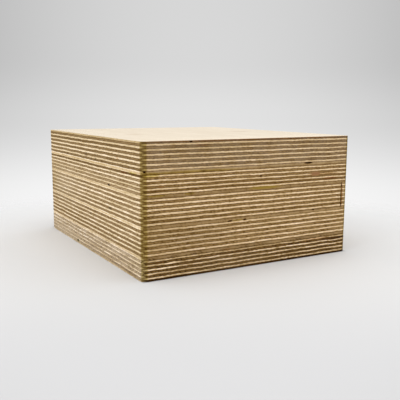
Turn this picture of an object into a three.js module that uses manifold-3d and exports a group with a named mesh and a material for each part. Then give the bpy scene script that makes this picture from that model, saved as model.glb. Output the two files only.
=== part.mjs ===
// A squared-up stack of birch plywood sheets, in millimetres, with +Z up.
// The origin is on the floor under the middle of the stack. X runs along a sheet's width and
// Y along its length.
//
// Each sheet is one board of cross-laid veneers, its plies. Ply 1 is the lowest. The odd plies,
// the two faces among them, have their grain along Y, and the even plies have it along X.
// A ply shows end grain on the two edges that its grain runs into, and side grain on the others.

import * as THREE from "three";
import { mergeVertices } from "three/addons/utils/BufferGeometryUtils.js";
import Module from "manifold-3d";

const wasm = await Module();
wasm.setup();

// ---- Driving dimensions ----

const SHEET_WIDTH = 161;
const SHEET_LENGTH = 185;
const CORNER_RADIUS = 4.2; // the upright corners, rounded once the stack was squared up
const CORNER_STEPS = 6; // facets round one corner

// A board's thickness, and the veneer that its inner plies are laid up from.
const THICK_BOARD = { thickness: 18.24, veneer: 1.44 };
const THIN_BOARD = { thickness: 14.19, veneer: 1.31 };
const FACE_PLY = 1.2; // the outer veneers are sanded thinner than the rest

const SIDE_GRAIN_WEAR = 0.12; // sanding takes side grain this far below the harder end grain
const GAP_DEPTH = 2.5; // how far an open gap in a veneer goes in
const GAP_TAPER = 0.6; // the far end of a gap, as a share of its mouth

// The stack from the floor up.
const STACK = [
  { name: "thin_sheet_1", board: THIN_BOARD, colour: 0xc9a673 },
  { name: "thick_sheet_2", board: THICK_BOARD, colour: 0xd6b583 },
  { name: "thick_sheet_3", board: THICK_BOARD, colour: 0xd8b887 },
  { name: "thin_sheet_4", board: THIN_BOARD, colour: 0xd4b27f },
  { name: "thick_sheet_5", board: THICK_BOARD, colour: 0xdabb8c },
];

// Open gaps where two strips of one veneer don't quite meet, seen on an edge of a sheet.
// Along is counted from the upright corner where the front and left edges meet, and rise from
// the middle of the ply. A ply below zero is counted down from the upper face, which is ply -1.
const VENEER_GAPS = [
  { sheet: "thick_sheet_5", ply: -1, edge: "front", along: 32.7, rise: 0, length: 1.7, height: 0.8 },
  { sheet: "thick_sheet_5", ply: 1, edge: "front", along: 2.2, rise: 0.1, length: 1.5, height: 1 },
  { sheet: "thick_sheet_5", ply: 1, edge: "front", along: 123.9, rise: 0.2, length: 6.4, height: 0.9 },
  { sheet: "thin_sheet_4", ply: 7, edge: "front", along: 84.4, rise: -0.3, length: 1.8, height: 0.8 },
  { sheet: "thin_sheet_4", ply: 2, edge: "left", along: 51.3, rise: -0.2, length: 3.2, height: 0.6 },
  { sheet: "thick_sheet_3", ply: 1, edge: "front", along: 129.2, rise: 0.2, length: 1.9, height: 0.7 },
  { sheet: "thick_sheet_2", ply: -1, edge: "front", along: 61, rise: -0.4, length: 3.4, height: 0.8 },
  { sheet: "thick_sheet_2", ply: -1, edge: "front", along: 72.2, rise: -0.4, length: 2.6, height: 0.8 },
];

// One sheet is made up to width with a narrow strip along its whole length. The joint shows as
// an upright seam in the front and the back edge.
const SEAM = { sheet: "thick_sheet_3", stripWidth: 6.5, gap: 0.7, depth: 2.5 };

const CUT_MARGIN = 2; // how far a cutting shape runs past what it cuts
const GAP_SIDES = 12; // facets round a gap

// ---- Plies ----

function innerThickness(board) {
  return board.thickness - 2 * FACE_PLY;
}

// The inner plies are the odd number of veneers that comes nearest to filling the board, so
// that both faces have their grain the same way. The press then squeezes them all alike.
function innerPlies(board) {
  return 2 * Math.round((innerThickness(board) / board.veneer - 1) / 2) + 1;
}

function plyCount(board) {
  return innerPlies(board) + 2;
}

function plyThickness(board, ply) {
  const isFace = ply === 1 || ply === plyCount(board);
  return isFace ? FACE_PLY : innerThickness(board) / innerPlies(board);
}

function plyBottom(board, ply) {
  let height = 0;
  for (let below = 1; below < ply; below += 1) {
    height += plyThickness(board, below);
  }
  return height;
}

// The thickness as a 32-bit vertex holds it, so that stacked faces meet exactly.
function boardThickness(board) {
  return Math.fround(board.thickness);
}

function grainRunsAlongY(ply) {
  return ply % 2 === 1;
}

// ---- Solids ----

function solidFrom(geometry) {
  const bare = geometry.clone();
  bare.deleteAttribute("normal");
  bare.deleteAttribute("uv");
  const welded = mergeVertices(bare);
  const mesh = new wasm.Mesh({
    numProp: 3,
    vertProperties: welded.attributes.position.array,
    triVerts: Uint32Array.from(welded.index.array),
  });
  return new wasm.Manifold(mesh);
}

function geometryFrom(solid) {
  const mesh = solid.getMesh();
  const geometry = new THREE.BufferGeometry();
  geometry.setAttribute("position", new THREE.BufferAttribute(mesh.vertProperties, 3));
  geometry.setIndex(new THREE.BufferAttribute(mesh.triVerts, 1));
  geometry.computeVertexNormals();
  return geometry;
}

// The sheet before its edges are worn: its outline with rounded corners, extruded upwards.
function blankSheet(board) {
  const x = SHEET_WIDTH / 2 - CORNER_RADIUS;
  const y = SHEET_LENGTH / 2 - CORNER_RADIUS;
  const quarter = Math.PI / 2;
  const outline = new THREE.Shape();
  outline.absarc(x, y, CORNER_RADIUS, 0, quarter);
  outline.absarc(-x, y, CORNER_RADIUS, quarter, 2 * quarter);
  outline.absarc(-x, -y, CORNER_RADIUS, 2 * quarter, 3 * quarter);
  outline.absarc(x, -y, CORNER_RADIUS, 3 * quarter, 4 * quarter);
  return new THREE.ExtrudeGeometry(outline, {
    depth: boardThickness(board),
    curveSegments: CORNER_STEPS,
    bevelEnabled: false,
  });
}

// The board's upright section between two opposite edges. The plies that show side grain
// there stop short, and the others run past the edge, where the blank's own outline stops them.
function wornSection(board, span, showsSideGrain) {
  const corners = [];
  for (let ply = 1; ply <= plyCount(board); ply += 1) {
    const reach = span / 2 + (showsSideGrain(ply) ? -SIDE_GRAIN_WEAR : CUT_MARGIN);
    const bottom = plyBottom(board, ply) - (ply === 1 ? CUT_MARGIN : 0);
    const top = plyBottom(board, ply + 1) + (ply === plyCount(board) ? CUT_MARGIN : 0);
    corners.push([reach, bottom], [reach, top]);
  }
  const right = corners.map(([reach, height]) => new THREE.Vector2(reach, height));
  const left = right.map((point) => new THREE.Vector2(-point.x, point.y)).reverse();
  return new THREE.Shape([...right, ...left]);
}

// A section drawn across X and Z, run along Y through the whole sheet.
function runAlongY(section, length) {
  const depth = length + 2 * CUT_MARGIN;
  const run = new THREE.ExtrudeGeometry(section, { depth, bevelEnabled: false });
  run.rotateX(Math.PI / 2);
  run.translate(0, depth / 2, 0);
  return run;
}

function runAlongX(section, length) {
  return runAlongY(section, length).rotateZ(Math.PI / 2);
}

// Both cuts start on the front edge, in the plane y = 0, and run in along +Y. The cone is
// drawn for a mouth one millimetre across, and flares on past it by its margin.
function gapCutter(gap) {
  const depth = GAP_DEPTH + CUT_MARGIN;
  const flare = 1 + ((1 - GAP_TAPER) * CUT_MARGIN) / GAP_DEPTH;
  const cutter = new THREE.CylinderGeometry(GAP_TAPER / 2, flare / 2, depth, GAP_SIDES);
  cutter.translate(0, depth / 2 - CUT_MARGIN, 0);
  cutter.scale(gap.length, 1, gap.height);
  return cutter;
}

function seamCutter(board) {
  const height = boardThickness(board) + 2 * CUT_MARGIN;
  const depth = SEAM.depth + CUT_MARGIN;
  const cutter = new THREE.BoxGeometry(SEAM.gap, depth, height);
  cutter.translate(0, depth / 2 - CUT_MARGIN, boardThickness(board) / 2);
  return cutter;
}

// Moves a cutter from the plane y = 0 to its place on the left, back or front edge.
function placeOnEdge(cutter, edge, along, height) {
  if (edge === "left") {
    cutter.rotateZ(-Math.PI / 2);
    return cutter.translate(-SHEET_WIDTH / 2, along - SHEET_LENGTH / 2, height);
  }
  if (edge === "back") {
    cutter.rotateZ(Math.PI);
    return cutter.translate(along - SHEET_WIDTH / 2, SHEET_LENGTH / 2, height);
  }
  return cutter.translate(along - SHEET_WIDTH / 2, -SHEET_LENGTH / 2, height);
}

function makeSheet({ name, board, colour }) {
  const acrossX = wornSection(board, SHEET_WIDTH, grainRunsAlongY);
  const acrossY = wornSection(board, SHEET_LENGTH, (ply) => !grainRunsAlongY(ply));
  let solid = solidFrom(blankSheet(board))
    .intersect(solidFrom(runAlongY(acrossX, SHEET_LENGTH)))
    .intersect(solidFrom(runAlongX(acrossY, SHEET_WIDTH)));

  for (const gap of VENEER_GAPS.filter((entry) => entry.sheet === name)) {
    const ply = gap.ply > 0 ? gap.ply : plyCount(board) + 1 + gap.ply;
    const middle = plyBottom(board, ply) + plyThickness(board, ply) / 2 + gap.rise;
    const cutter = placeOnEdge(gapCutter(gap), gap.edge, gap.along, middle);
    solid = solid.subtract(solidFrom(cutter));
  }
  if (SEAM.sheet === name) {
    const along = SHEET_WIDTH - SEAM.stripWidth;
    for (const edge of ["front", "back"]) {
      solid = solid.subtract(solidFrom(placeOnEdge(seamCutter(board), edge, along, 0)));
    }
  }

  const material = new THREE.MeshStandardMaterial({
    color: colour,
    roughness: 0.75,
    metalness: 0,
    flatShading: true,
  });
  const sheet = new THREE.Mesh(geometryFrom(solid), material);
  sheet.name = name;
  return sheet;
}

// ---- The stack ----

const stack = new THREE.Group();
let height = 0;
for (const entry of STACK) {
  const sheet = makeSheet(entry);
  sheet.position.z = height;
  stack.add(sheet);
  height += boardThickness(entry.board);
}

export default stack;
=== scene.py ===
# %% [markdown]
# # A squared-up stack of birch plywood sheets
# Five small sheets lie on each other with their edges flush. What makes plywood look like
# plywood is its edge: thin veneers glued crosswise, so that the same veneer shows pale side
# grain on one edge of the sheet and brown end grain on the next. This file dresses the packed
# model of the stack. The sizes come from that model, and everything is in metres.

# %% The frame
import math

import bmesh
import bpy
import numpy as np
from mathutils import Matrix, Vector


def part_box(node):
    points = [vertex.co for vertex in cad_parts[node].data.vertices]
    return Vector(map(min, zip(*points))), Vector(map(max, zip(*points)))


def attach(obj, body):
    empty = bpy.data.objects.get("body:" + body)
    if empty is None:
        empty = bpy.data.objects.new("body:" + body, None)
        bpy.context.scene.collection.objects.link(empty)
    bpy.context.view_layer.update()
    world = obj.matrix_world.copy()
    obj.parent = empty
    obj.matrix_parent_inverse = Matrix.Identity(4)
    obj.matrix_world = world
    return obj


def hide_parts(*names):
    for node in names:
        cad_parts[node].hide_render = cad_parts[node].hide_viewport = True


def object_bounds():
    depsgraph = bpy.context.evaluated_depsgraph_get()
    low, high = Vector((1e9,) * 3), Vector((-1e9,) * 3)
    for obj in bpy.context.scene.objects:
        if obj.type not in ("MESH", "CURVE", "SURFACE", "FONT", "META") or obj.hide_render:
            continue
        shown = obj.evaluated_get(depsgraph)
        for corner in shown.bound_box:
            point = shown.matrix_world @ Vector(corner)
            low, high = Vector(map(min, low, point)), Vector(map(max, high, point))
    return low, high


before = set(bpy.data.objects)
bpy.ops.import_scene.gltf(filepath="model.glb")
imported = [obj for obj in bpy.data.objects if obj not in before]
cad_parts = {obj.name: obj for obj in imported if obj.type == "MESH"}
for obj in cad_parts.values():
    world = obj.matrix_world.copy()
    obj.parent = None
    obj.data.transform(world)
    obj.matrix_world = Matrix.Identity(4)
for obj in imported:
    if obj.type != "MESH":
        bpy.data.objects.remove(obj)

MM = 0.001
cad_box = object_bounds()
stack_lo, stack_hi = cad_box
print("stack, mm:", [round(size / MM, 2) for size in stack_hi - stack_lo])

# %% [markdown]
# ## The camera
# The camera stands a little above the stack and off its front left corner. Its direction is
# easiest to think of as three turns made one after the other: the yaw round the upright axis,
# the pitch down towards the floor and a very small roll. Multiplying three rotation matrices
# in that order says just that, where one set of Euler angles would hide it.

# %% Camera
CAMERA_PLACE = Vector((-218.3, -397.8, 103.6)) * MM
CAMERA_YAW = math.radians(30.07)
CAMERA_PITCH = math.radians(9.17)
CAMERA_ROLL = math.radians(0.27)
CAMERA_LENS = 52.7
CAMERA_SENSOR = 36

bpy.ops.object.camera_add()
camera = bpy.context.object
camera.name = "camera"
camera.data.sensor_width = CAMERA_SENSOR
camera.data.lens = CAMERA_LENS
turn = Matrix.Rotation(-CAMERA_YAW, 4, "Z")
turn = turn @ Matrix.Rotation(math.pi / 2 - CAMERA_PITCH, 4, "X")
turn = turn @ Matrix.Rotation(CAMERA_ROLL, 4, "Z")
camera.matrix_world = Matrix.Translation(CAMERA_PLACE) @ turn
bpy.context.scene.camera = camera
bpy.context.scene.view_settings.view_transform = "Standard"
print("camera distance, mm:", round(CAMERA_PLACE.length / MM))

# %% [markdown]
# ## Small helpers for nodes
# A material is a graph, and wiring a graph by hand takes many lines. A few helpers keep the rest
# short: one adds a node and fills or links its inputs, and the others each stand for one step of
# a formula. All of them take the tree that the node goes into, and return what comes out of it.

# %% Node helpers
def fill_inputs(tree, node, inputs):
    """Fills a node's inputs. Each is a plain value, or the output of another node to link."""
    for socket, value in dict(inputs).items():
        if isinstance(value, bpy.types.NodeSocket):
            tree.links.new(value, node.inputs[socket])
        else:
            node.inputs[socket].default_value = value


def add_node(tree, kind, inputs=(), **settings):
    """Adds a node, sets it and fills its inputs. Returns its outputs."""
    made = tree.nodes.new("ShaderNode" + kind)
    for name, value in settings.items():
        setattr(made, name, value)
    fill_inputs(tree, made, inputs)
    return made.outputs


def calculate(tree, operation, first, second=0.0):
    """One Math node."""
    return add_node(tree, "Math", {0: first, 1: second}, operation=operation)[0]


def multiply(tree, *factors):
    """The product of several numbers."""
    product = factors[0]
    for factor in factors[1:]:
        product = calculate(tree, "MULTIPLY", product, factor)
    return product


def calculate_vector(tree, operation, first, second=(0, 0, 0)):
    """One Vector Math node whose answer is a vector."""
    return add_node(tree, "VectorMath", {0: first, 1: second}, operation=operation)[0]


def measure(tree, operation, first, second=(0, 0, 0)):
    """One Vector Math node whose answer is a number, such as a length."""
    return add_node(tree, "VectorMath", {0: first, 1: second}, operation=operation)["Value"]


def scale_vector(tree, vector, factor):
    """A vector or a colour made longer or shorter, brighter or darker."""
    return add_node(tree, "VectorMath", {0: vector, "Scale": factor}, operation="SCALE")[0]


def separate(tree, vector):
    return add_node(tree, "SeparateXYZ", {0: vector})


def combine(tree, x, y, z=0.0):
    return add_node(tree, "CombineXYZ", {0: x, 1: y, 2: z})[0]


def ramp(tree, value, low, high, to_low=0.0, to_high=1.0, smooth=True):
    """Carries a value from one range to another, held at both ends."""
    shape = "SMOOTHSTEP" if smooth else "LINEAR"
    inputs = {0: value, 1: low, 2: high, 3: to_low, 4: to_high}
    return add_node(tree, "MapRange", inputs, interpolation_type=shape)[0]


# %% Blending
# The Mix node has a pair of input sockets for numbers, one for vectors and one for colours.
def blend_numbers(tree, amount, first, second):
    return add_node(tree, "Mix", {0: amount, 2: first, 3: second}, data_type="FLOAT")[0]


def blend_vectors(tree, amount, first, second):
    return add_node(tree, "Mix", {0: amount, 4: first, 5: second}, data_type="VECTOR")[1]


def blend_colours(tree, amount, first, second, how="MIX"):
    inputs = {0: amount, 6: first, 7: second}
    return add_node(tree, "Mix", inputs, data_type="RGBA", blend_type=how)[2]


def paint(red, green, blue):
    """A colour as a paint chart gives it, 0 to 255, turned into the linear values of a shader."""
    def linear(value):
        share = value / 255
        return share / 12.92 if share <= 0.04045 else ((share + 0.055) / 1.055) ** 2.4

    return (linear(red), linear(green), linear(blue), 1.0)


def grey(tone):
    return paint(tone, tone, tone)


print("middle grey, linear:", round(grey(128)[0], 3))

# %% Noise
NOISE_RANGE = (0.3, 0.7)  # nearly all values of a noise lie in here


def noise(tree, place, detail, roughness):
    """The value of a Noise node at a place, one lump to each unit of that place."""
    inputs = {"Vector": place, "Scale": 1.0, "Detail": detail, "Roughness": roughness}
    return add_node(tree, "TexNoise", inputs)[0]


def object_place(tree):
    """Where a point is on the object, in millimetres, so that grain has sizes one can measure."""
    coordinates = add_node(tree, "TexCoord")["Object"]
    return calculate_vector(tree, "MULTIPLY", coordinates, (1 / MM, 1 / MM, 1 / MM))


def soft_lumps(tree, lumps):
    """A noise over the whole object, with that many lumps to a millimetre."""
    return noise(tree, scale_vector(tree, object_place(tree), lumps), 3.0, 0.6)


def spread(tree, value, low, high):
    """Carries the whole range of a noise to two other values."""
    return ramp(tree, value, *NOISE_RANGE, low, high)


# %% [markdown]
# ## Node groups
# A group is a piece of a graph with named sockets. It is built once and placed in many
# materials, as a maker keeps one stencil and uses it with different paints. One helper makes the
# sockets and leaves the inside to a function of its own, and another places a finished group.

# %% Group helpers
def make_group(name, inputs, outputs, build):
    """Makes a node group, with the names of its sockets listed under their kind. build gets the
    group's tree and the values that come in, and returns the values that go out."""
    tree = bpy.data.node_groups.new(name, "ShaderNodeTree")
    for in_out, kinds in (("INPUT", inputs), ("OUTPUT", outputs)):
        for kind, labels in kinds.items():
            for label in labels:
                socket_type = "NodeSocket" + kind
                tree.interface.new_socket(name=label, in_out=in_out, socket_type=socket_type)
    results = build(tree, tree.nodes.new("NodeGroupInput").outputs)
    fill_inputs(tree, tree.nodes.new("NodeGroupOutput"), results)
    print("node group:", name, "with", len(tree.nodes), "nodes")
    return tree


def place_group(tree, group, inputs):
    """Places a node group in a material. Returns its outputs."""
    return add_node(tree, "Group", inputs, node_tree=group)


# %% [markdown]
# ## The sheets and their plies
# A sheet is laid up from veneers about one and a half millimetres thick. The thick sheets have
# thirteen plies and the thin ones eleven, always an odd number, so that both faces run the same
# way and the sheet stays flat. The two face plies are sanded thinner. The thickness of each
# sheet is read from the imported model, and the plies share it out.

# %% Ply heights
SHEET_PLIES = {
    "thin_sheet_1": 11,
    "thick_sheet_2": 13,
    "thick_sheet_3": 13,
    "thin_sheet_4": 11,
    "thick_sheet_5": 13,
}
FACE_PLY = 1.2 * MM


def ply_heights(sheet):
    """The height of every ply boundary above the floor, from the sheet's underside up."""
    low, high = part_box(sheet)
    inner = np.linspace(low.z + FACE_PLY, high.z - FACE_PLY, SHEET_PLIES[sheet] - 1)
    return [low.z, *inner, high.z]


for name in SHEET_PLIES:
    heights = ply_heights(name)
    print(name, "inner ply, mm:", round((heights[2] - heights[1]) / MM, 3))

# %% [markdown]
# ## Laying up one sheet
# A cube with a striped picture on it would look like plywood from afar, but the edge of a real
# sheet isn't flat: sanding takes a little more from the soft side grain than from the end
# grain, and leaves each soft ply slightly dished. So the sheet is laid up the way the mill does
# it, ply on ply. It starts as a plane with rounded corners. The plane is extruded upwards in
# many small steps, and at each step it is scaled to the outline that the edge has there. Bevel,
# subdivide, extrude and scale are all that it takes.

# %% Outlines up the edge of a sheet
CORNER_RADIUS = 4.2 * MM
CORNER_SEGMENTS = 8
EDGE_CUTS = 90  # the points along a straight edge, about two millimetres apart
SIDE_GRAIN_WEAR = 0.12 * MM  # how far side grain lies behind end grain
DISH = 0.04 * MM  # how far the middle of a ply lies behind its edges
GLUE_STEP = 0.16 * MM  # the height over which one ply steps back to the next
ARRIS = 0.06 * MM  # the worn edge between an edge and a face


def edge_outlines(sheet):
    """(height, width, length) of the sheet's outline, from its underside to its top."""
    low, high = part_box(sheet)
    width, length = high.x - low.x, high.y - low.y
    heights = ply_heights(sheet)
    outlines = []
    for ply in range(SHEET_PLIES[sheet]):
        grain_along_x = ply % 2 == 1
        bottom = heights[ply] + (ARRIS if ply == 0 else GLUE_STEP / 2)
        top = heights[ply + 1] - (ARRIS if ply == SHEET_PLIES[sheet] - 1 else GLUE_STEP / 2)
        for height, dish in ((bottom, 0), ((bottom + top) / 2, DISH), (top, 0)):
            back_x = 0 if grain_along_x else SIDE_GRAIN_WEAR + dish
            back_y = SIDE_GRAIN_WEAR + dish if grain_along_x else 0
            outlines.append((height, width - 2 * back_x, length - 2 * back_y))
    for place, height in ((0, low.z), (len(outlines) + 1, high.z)):
        near = outlines[0 if place == 0 else -1]
        outlines.insert(place, (height, near[1] - 2 * ARRIS, near[2] - 2 * ARRIS))
    return outlines


print("outlines up a thick sheet:", len(edge_outlines("thick_sheet_5")))

# %% Laying up
def deselect_all():
    if bpy.context.object and bpy.context.object.mode != "OBJECT":
        bpy.ops.object.mode_set(mode="OBJECT")
    bpy.ops.object.select_all(action="DESELECT")


def select_edges(piece, test):
    """Selects, in edit mode, the edges that pass a test."""
    bpy.ops.mesh.select_mode(type="EDGE")
    bpy.ops.mesh.select_all(action="DESELECT")
    mesh = bmesh.from_edit_mesh(piece.data)
    for edge in mesh.edges:
        edge.select_set(test(edge))
    mesh.select_flush_mode()
    bmesh.update_edit_mesh(piece.data)


def lay_up(sheet):
    """Makes one sheet as a new object, ply on ply."""
    deselect_all()
    outlines = edge_outlines(sheet)
    height, width, length = outlines[0]
    bpy.ops.mesh.primitive_plane_add(size=1, location=(0, 0, height))
    piece = bpy.context.object
    piece.name = sheet.replace("sheet", "plywood")
    piece.scale = (width, length, 1)
    bpy.ops.object.transform_apply(location=True, rotation=True, scale=True)

    bpy.ops.object.mode_set(mode="EDIT")
    bpy.ops.mesh.select_all(action="SELECT")
    bpy.ops.mesh.bevel(offset=CORNER_RADIUS, segments=CORNER_SEGMENTS, affect="VERTICES")
    select_edges(piece, lambda edge: edge.calc_length() > width / 2)
    bpy.ops.mesh.subdivide(number_cuts=EDGE_CUTS)

    bpy.ops.mesh.select_mode(type="FACE")
    bpy.ops.mesh.select_all(action="SELECT")
    for next_height, next_width, next_length in outlines[1:]:
        rise = {"value": (0, 0, next_height - height)}
        bpy.ops.mesh.extrude_region_move(TRANSFORM_OT_translate=rise)
        scale = (next_width / width, next_length / length, 1)
        bpy.ops.transform.resize(value=scale, center_override=(0, 0, 0))
        height, width, length = next_height, next_width, next_length
    bpy.ops.object.mode_set(mode="OBJECT")
    return piece


sheets = {name: lay_up(name) for name in SHEET_PLIES}
for name, piece in sheets.items():
    print(piece.name, "faces:", len(piece.data.polygons))

# %% [markdown]
# ## A map of the plies
# The material has to know which ply a point is in, and how far up in it. A UV map can carry
# that: V counts the plies from the underside up, 0 to 1 in the first ply, 1 to 2 in the second,
# and U is the distance along the edge. The map is laid on while the plies are still straight.
# When the mesh is bent afterwards, the colours go with it.

# %% Ply map
PLY_MAP = "plies"


def map_plies(piece, sheet):
    """Gives a mesh the UV map that counts the plies of a sheet."""
    mesh = piece.data
    places = np.zeros(len(mesh.vertices) * 3)
    mesh.vertices.foreach_get("co", places)
    places = places.reshape(-1, 3)
    corners = np.zeros(len(mesh.loops), int)
    mesh.loops.foreach_get("vertex_index", corners)
    heights = ply_heights(sheet)
    count = np.interp(places[:, 2], heights, range(len(heights)))
    along = (places[:, 0] + places[:, 1]) / MM
    layer = mesh.uv_layers[0] if mesh.uv_layers else mesh.uv_layers.new()
    layer.name = PLY_MAP
    layer.data.foreach_set("uv", np.column_stack((along, count))[corners].ravel())
    print(piece.name, "is mapped up to ply", round(count.max()))


for name, piece in sheets.items():
    map_plies(piece, name)

# %% [markdown]
# ## Plies that wander
# Veneer is peeled from a log, dried and pressed, and it is never quite even, so the plies of a
# real sheet rise, sink and swell by a tenth of a millimetre along its edge. Two Displace
# modifiers do that with soft noise, one with long waves and one with short ones. They move
# points up and down only, and a vertex group keeps both faces of the sheet flat.

# %% Wandering plies
WANDERS = {"long wander": (14 * MM, 0.42 * MM), "short wander": (3.5 * MM, 0.2 * MM)}
INNER_PLIES = "inner plies"


def apply_modifier(piece, kind, **settings):
    """Adds a modifier, sets it and applies it."""
    deselect_all()
    piece.select_set(True)
    bpy.context.view_layer.objects.active = piece
    modifier = piece.modifiers.new(kind.lower(), kind)
    for name, value in settings.items():
        setattr(modifier, name, value)
    bpy.ops.object.modifier_apply(modifier=modifier.name)


def soft_noise(name, size):
    """A cloud texture whose lumps are about that size."""
    texture = bpy.data.textures.new(name, "CLOUDS")
    texture.noise_scale = size
    texture.noise_depth = 1
    return texture


def wander(piece, sheet):
    low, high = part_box(sheet)
    inner = piece.vertex_groups.new(name=INNER_PLIES)
    margin = FACE_PLY / 2
    low_z, high_z = low.z + margin, high.z - margin
    places = [point.index for point in piece.data.vertices if low_z < point.co.z < high_z]
    inner.add(places, 1.0, "REPLACE")
    # Applying a modifier makes the group anew, so it is asked for by its own name from here on.
    for label, (size, strength) in WANDERS.items():
        texture = soft_noise(label, size)
        apply_modifier(piece, "DISPLACE", texture=texture, direction="Z", strength=strength,
                       mid_level=0.5, vertex_group=INNER_PLIES)


for name, piece in sheets.items():
    wander(piece, name)
furthest = sum(strength for size, strength in WANDERS.values()) / 2
print("plies wander by up to about", round(furthest / MM, 2), "mm")

# %% [markdown]
# ## Open gaps in the veneers
# Where two strips of one veneer don't quite meet, the edge has a small dark slot as high as
# the ply, or a little less. A dark dot in the colour would do for one view, but a slot catches
# shadow from every side. The slots are cut with a Boolean modifier. The cutter is a cylinder
# with a ragged rim, because torn veneer has no clean outline. It is laid on its side, squeezed
# to the slot's length and height and tapered inwards.

# %% Gaps in the veneers
GAP_DEPTH = 2.5 * MM
GAP_TAPER = 0.6
GAP_SIDES = 20
GAP_RAGGEDNESS = 0.08  # how far the rim of a gap strays, as a share of its size
CUT_MARGIN = 2 * MM

# (sheet, ply from the underside, edge, distance from the front left corner, rise from the
# middle of the ply, length, height)
VENEER_GAPS = [
    ("thick_sheet_5", 13, "front", 32.7, 0.0, 1.7, 0.8),
    ("thick_sheet_5", 1, "front", 2.2, 0.1, 1.5, 1.0),
    ("thick_sheet_5", 1, "front", 123.9, 0.2, 6.4, 0.9),
    ("thin_sheet_4", 7, "front", 84.4, -0.3, 1.8, 0.8),
    ("thin_sheet_4", 2, "left", 51.3, -0.2, 3.2, 0.6),
    ("thick_sheet_3", 1, "front", 129.2, 0.2, 1.9, 0.7),
    ("thick_sheet_2", 13, "front", 61.0, -0.4, 3.4, 0.8),
    ("thick_sheet_2", 13, "front", 72.2, -0.4, 2.6, 0.8),
]
# edge: (the way into the wood, the way along the edge)
EDGE_WAYS = {
    "front": (Vector((0, 1, 0)), Vector((1, 0, 0))),
    "left": (Vector((1, 0, 0)), Vector((0, 1, 0))),
}


def in_ply(sheet, ply, rise):
    """The height of a gap above the floor, from its rise above the middle of its ply."""
    heights = ply_heights(sheet)
    return (heights[ply - 1] + heights[ply]) / 2 + rise * MM


def on_edge(edge, along, height):
    """A point on the front or left edge, from millimetres along it and metres above the floor."""
    if edge == "front":
        return Vector((stack_lo.x + along * MM, stack_lo.y, height))
    return Vector((stack_lo.x, stack_lo.y + along * MM, height))


print("gaps:", len(VENEER_GAPS))

# %% Gap cutters
def make_cutter(edge, place, length, height, seed):
    """A ragged cone that starts outside the edge and runs in."""
    deselect_all()
    bpy.ops.mesh.primitive_cylinder_add(vertices=GAP_SIDES, radius=0.5, depth=1,
                                        end_fill_type="TRIFAN")
    cutter = bpy.context.object
    bpy.ops.object.mode_set(mode="EDIT")
    bpy.ops.mesh.select_all(action="SELECT")
    bpy.ops.transform.vertex_random(offset=GAP_RAGGEDNESS, uniform=0, normal=0, seed=seed)
    bpy.ops.mesh.select_mode(type="VERT")
    bpy.ops.mesh.select_all(action="DESELECT")
    flare = 1 + (1 - GAP_TAPER) * CUT_MARGIN / GAP_DEPTH
    for inner, scale in ((True, GAP_TAPER), (False, flare)):
        mesh = bmesh.from_edit_mesh(cutter.data)
        for point in mesh.verts:
            point.select_set((point.co.z > 0) == inner)
        bmesh.update_edit_mesh(cutter.data)
        bpy.ops.transform.resize(value=(scale, scale, 1), center_override=(0, 0, 0))
    bpy.ops.object.mode_set(mode="OBJECT")

    inward, across = EDGE_WAYS[edge]
    whole = GAP_DEPTH + CUT_MARGIN
    stretch = Matrix.Diagonal((length * MM, height * MM, whole, 1))
    turn = Matrix((across, Vector((0, 0, 1)), inward)).transposed().to_4x4()
    middle = place + inward * (whole / 2 - CUT_MARGIN)
    cutter.data.transform(Matrix.Translation(middle) @ turn @ stretch)
    if turn.determinant() < 0:
        cutter.data.flip_normals()
    return cutter


def cut(piece, sheet, cutter):
    """Takes the cutter's shape out of a sheet and clears the cutter away."""
    map_plies(cutter, sheet)
    apply_modifier(piece, "BOOLEAN", object=cutter, operation="DIFFERENCE", solver="EXACT")
    bpy.data.objects.remove(cutter)


for seed, (sheet, ply, edge, along, rise, length, height) in enumerate(VENEER_GAPS):
    place = on_edge(edge, along, in_ply(sheet, ply, rise))
    cut(sheets[sheet], sheet, make_cutter(edge, place, length, height, seed))

# %% [markdown]
# ## The seam of the made-up sheet
# One sheet is made up to width with a narrow strip along its whole length. The joint shows as a
# thin upright slot in the front edge and in the back edge, as high as the sheet. A slot that
# runs out of both faces can't be a ring of pushed-in faces, because they would lie in the plane
# of those faces. A Boolean with a thin box is the clean way.

# %% Seam
SEAM_SHEET = "thick_sheet_3"
SEAM_STRIP = 6.5 * MM
SEAM_GAP = 0.7 * MM
SEAM_DEPTH = 2.5 * MM


def cut_seam(edge_y):
    low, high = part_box(SEAM_SHEET)
    middle = (high.x - SEAM_STRIP, edge_y, (low.z + high.z) / 2)
    deselect_all()
    bpy.ops.mesh.primitive_cube_add(size=1, location=middle)
    cutter = bpy.context.object
    cutter.scale = (SEAM_GAP, 2 * SEAM_DEPTH, high.z - low.z + 2 * CUT_MARGIN)
    bpy.ops.object.transform_apply(location=True, rotation=True, scale=True)
    cut(sheets[SEAM_SHEET], SEAM_SHEET, cutter)


for edge_y in (stack_lo.y, stack_hi.y):
    cut_seam(edge_y)

# %% [markdown]
# ## Smooth corners, sharp steps
# The rounded corners should shade as curves and the steps between the plies as creases. The
# angle between two facets of a corner is about eleven degrees and that of a step over thirty,
# so smoothing by angle tells them apart without any marking by hand.

# %% Finishing the meshes
SMOOTH_ANGLE = math.radians(24)
SAME_POINT = 0.0005 * MM  # points nearer to each other than this are one

for name, piece in sheets.items():
    deselect_all()
    piece.select_set(True)
    bpy.context.view_layer.objects.active = piece
    bpy.ops.object.mode_set(mode="EDIT")
    bpy.ops.mesh.select_all(action="SELECT")
    bpy.ops.mesh.remove_doubles(threshold=SAME_POINT)
    bpy.ops.mesh.normals_make_consistent(inside=False)
    bpy.ops.object.mode_set(mode="OBJECT")
    bpy.ops.object.shade_smooth_by_angle(angle=SMOOTH_ANGLE)
    print(name, "triangles:", sum(len(face.vertices) - 2 for face in piece.data.polygons))

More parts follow.
